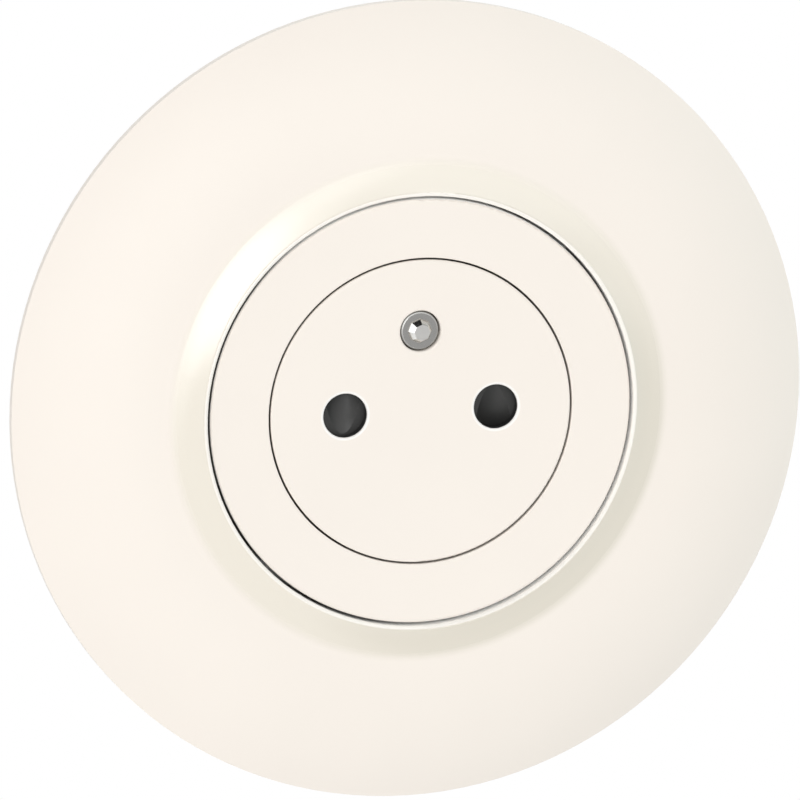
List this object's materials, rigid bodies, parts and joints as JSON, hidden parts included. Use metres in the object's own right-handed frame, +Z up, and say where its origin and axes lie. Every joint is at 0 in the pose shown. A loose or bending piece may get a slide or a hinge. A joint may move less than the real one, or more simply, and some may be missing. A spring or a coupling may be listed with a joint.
{
  "type": "french wall socket",
  "caption": "Round flush wall socket with a domed cover plate, a sprung well disc with two pin holes, an earth pin, a turning shutter and push-in terminals.",
  "frame": {"origin": "on the socket's axis, in the wall plane: centre of the box-screw pattern at the yoke's rear face", "axes": "+Y into the wall, so the front faces -Y; +Z up towards the earth pin; +X to the right seen from the front"},
  "size_m": [0.0996, 0.0407, 0.0996],
  "materials": {
    "ivory_plastic": "glossy moulded ivory plastic",
    "dark_plastic": "dark grey moulded plastic",
    "body_plastic": "light grey moulded insulating plastic",
    "nickel_plate": "nickel-plated turned brass",
    "contact_brass": "stamped and folded brass strip",
    "spring_steel": "bright spring steel",
    "zinc_steel": "zinc-plated pressed steel",
    "line_button_plastic": "red-brown moulded plastic",
    "neutral_button_plastic": "blue moulded plastic",
    "earth_button_plastic": "green moulded plastic"
  },
  "bodies": {
    "frame": {"cover_plate": "ivory_plastic", "socket_cover": "ivory_plastic", "yoke": "zinc_steel", "yoke_screws": "zinc_steel", "housing": "body_plastic", "contact_block": "body_plastic", "rear_cover": "body_plastic", "body_screws": "zinc_steel", "line_contact": "contact_brass", "neutral_contact": "contact_brass", "contact_clips": "spring_steel", "earth_pin": "nickel_plate", "earth_strap": "contact_brass", "line_clamp_spring": "spring_steel", "neutral_clamp_spring": "spring_steel", "earth_clamp_spring": "spring_steel", "return_spring": "spring_steel"},
    "well": {"well_disc": "ivory_plastic", "shutter_carrier": "dark_plastic", "shutter_spring": "spring_steel"},
    "shutter": {"shutter_rotor": "dark_plastic"},
    "line_button": {"line_release": "line_button_plastic"},
    "neutral_button": {"neutral_release": "neutral_button_plastic"},
    "earth_button": {"earth_release": "earth_button_plastic"}
  },
  "joints": [
    {"name": "well_travel", "type": "slide", "parent": "frame", "child": "well", "axis": [0, 1, 0], "range_m": [0, 0.015], "stiffness_N_per_m": 250, "springref_m": -0.01, "deforming": ["return_spring"]},
    {"name": "shutter_turn", "type": "hinge", "parent": "well", "child": "shutter", "pos_m": [0, -0.0044, 0], "axis": [0, -1, 0], "range_deg": [0, 36], "stiffness_Nm_per_rad": 0.01, "springref_deg": -11.46, "deforming": ["shutter_spring"]},
    {"name": "line_release_press", "type": "slide", "parent": "frame", "child": "line_button", "axis": [0, -1, 0], "range_m": [0, 0.0013], "stiffness_N_per_m": 800, "springref_m": -0.001, "deforming": ["line_clamp_spring"]},
    {"name": "neutral_release_press", "type": "slide", "parent": "frame", "child": "neutral_button", "axis": [0, -1, 0], "range_m": [0, 0.0013], "stiffness_N_per_m": 800, "springref_m": -0.001, "deforming": ["neutral_clamp_spring"]},
    {"name": "earth_release_press", "type": "slide", "parent": "frame", "child": "earth_button", "axis": [0, -1, 0], "range_m": [0, 0.0013], "stiffness_N_per_m": 800, "springref_m": -0.001, "deforming": ["earth_clamp_spring"]}
  ]
}
